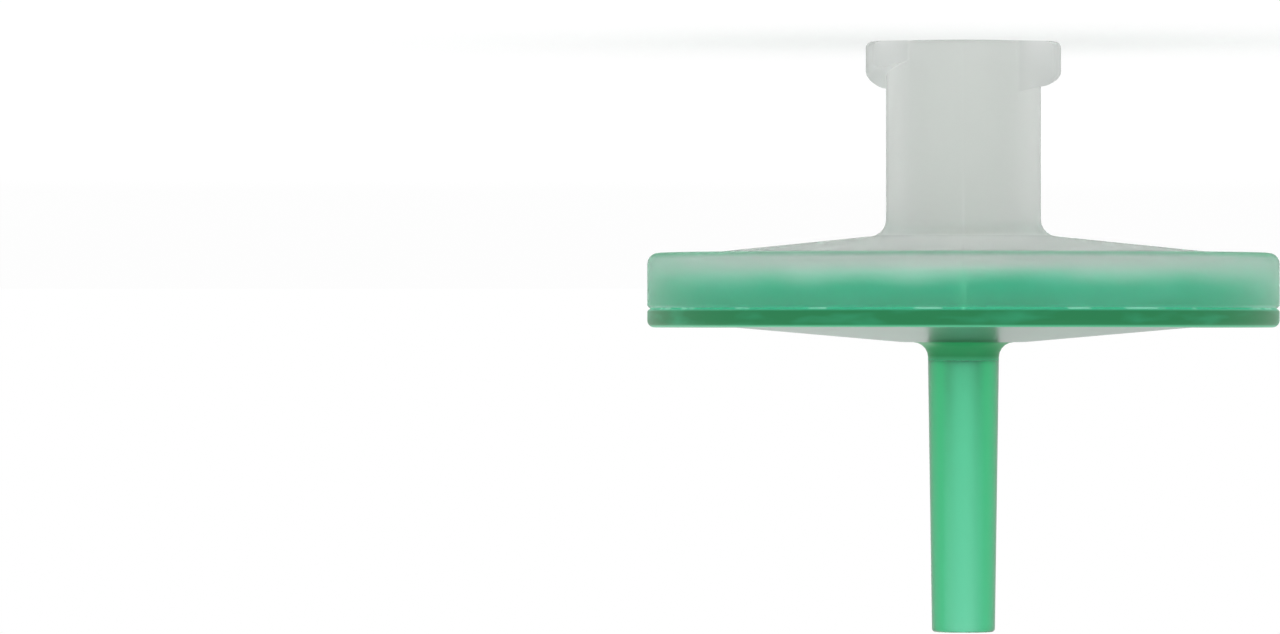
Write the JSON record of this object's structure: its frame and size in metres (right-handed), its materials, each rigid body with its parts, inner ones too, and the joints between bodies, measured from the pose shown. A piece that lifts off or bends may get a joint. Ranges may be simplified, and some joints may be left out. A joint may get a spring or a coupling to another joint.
{
  "type": "syringe filter",
  "caption": "Disposable round membrane filter for a syringe: a female luer lock inlet, a ribbed flat chamber with a coloured seal ring and a straight outlet stem.",
  "frame": {"origin": "centre of the luer inlet's end face, which the part stands on", "axes": "+Z along the axis from the luer inlet to the outlet stem's tip, +X through the middle of one lock lug"},
  "size_m": [0.0252, 0.0252, 0.0236],
  "materials": {
    "natural_polypropylene": "translucent natural moulding, satin",
    "green_ring_polypropylene": "green moulding, satin, slightly translucent",
    "green_stem_polypropylene": "translucent green moulding, soft gloss",
    "membrane_film": "fine white porous film, dull"
  },
  "bodies": {
    "root": {"inlet_housing": "natural_polypropylene", "seal_ring": "green_ring_polypropylene", "membrane": "membrane_film", "outlet_housing": "natural_polypropylene", "outlet_stem": "green_stem_polypropylene"}
  },
  "joints": []
}
